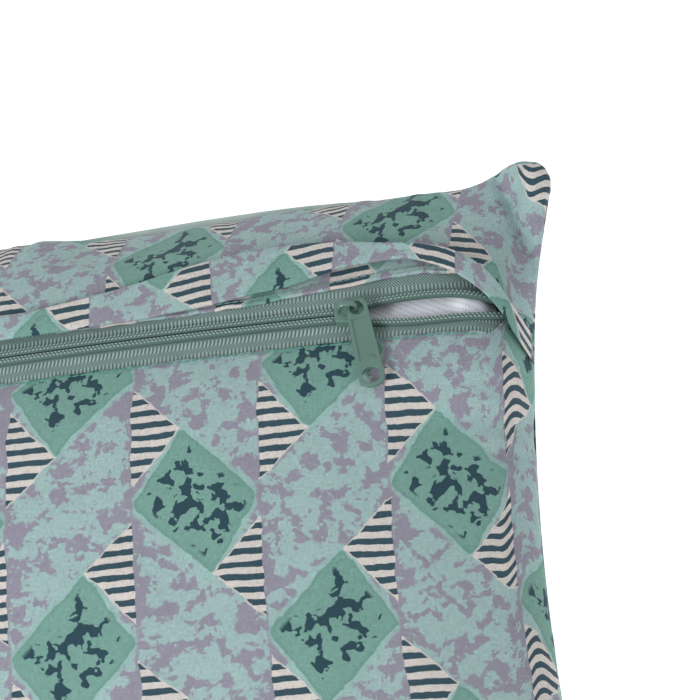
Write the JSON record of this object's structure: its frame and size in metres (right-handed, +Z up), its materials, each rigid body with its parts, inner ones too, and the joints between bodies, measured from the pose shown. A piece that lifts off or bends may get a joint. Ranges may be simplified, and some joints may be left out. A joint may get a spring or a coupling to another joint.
{
  "type": "camp pillow",
  "caption": "Stuffed rectangular camp pillow: printed cloth cover closed by a coil zip across its back, with a cloth flap beside the zip and a separate inner cushion.",
  "frame": {"origin": "on the ground, under the middle of the pillow as it lies with the zip side up", "axes": "+X along the zip, towards the end where the slider stands when closed; +Y across the pillow, towards the edge nearest the zip; +Z up, out of the zip side"},
  "size_m": [0.492, 0.324, 0.098],
  "materials": {
    "printed_cloth": "matte plain-woven cotton, printed",
    "zip_tape": "matte woven tape",
    "coil_nylon": "satin nylon coil",
    "sewing_thread": "matte polyester thread",
    "slider_metal": "satin painted die-cast metal",
    "liner_nonwoven": "matte embossed non-woven",
    "fibre_fill": "matte fibre"
  },
  "bodies": {
    "cover": {"front_panel": "printed_cloth", "back_panel_lower": "printed_cloth", "back_panel_upper": "printed_cloth", "cover_seam_turning": "printed_cloth", "zip_flap": "printed_cloth", "zip_tape_lower": "zip_tape", "zip_tape_upper": "zip_tape", "zip_coil_lower": "coil_nylon", "zip_coil_upper": "coil_nylon", "topstitch_lower": "sewing_thread", "topstitch_upper": "sewing_thread", "liner_top": "liner_nonwoven", "liner_under": "liner_nonwoven", "liner_edge_seam": "liner_nonwoven", "fibre_fill": "fibre_fill"},
    "slider": {"zip_slider": "slider_metal"},
    "puller": {"zip_puller": "slider_metal"}
  },
  "joints": [
    {"name": "slider_travel", "type": "hinge", "parent": "cover", "child": "slider", "pos_m": [0, 0.094, -1.211], "axis": [0, 1, 0], "range_deg": [-16.6, 1.2], "deforming": ["zip_coil_lower", "zip_coil_upper"]},
    {"name": "puller_swing", "type": "hinge", "parent": "slider", "child": "puller", "pos_m": [0.17649, 0.09483, 0.08092], "axis": [0.1317, 0.207, 0.9694], "range_deg": [-50, 60]}
  ]
}
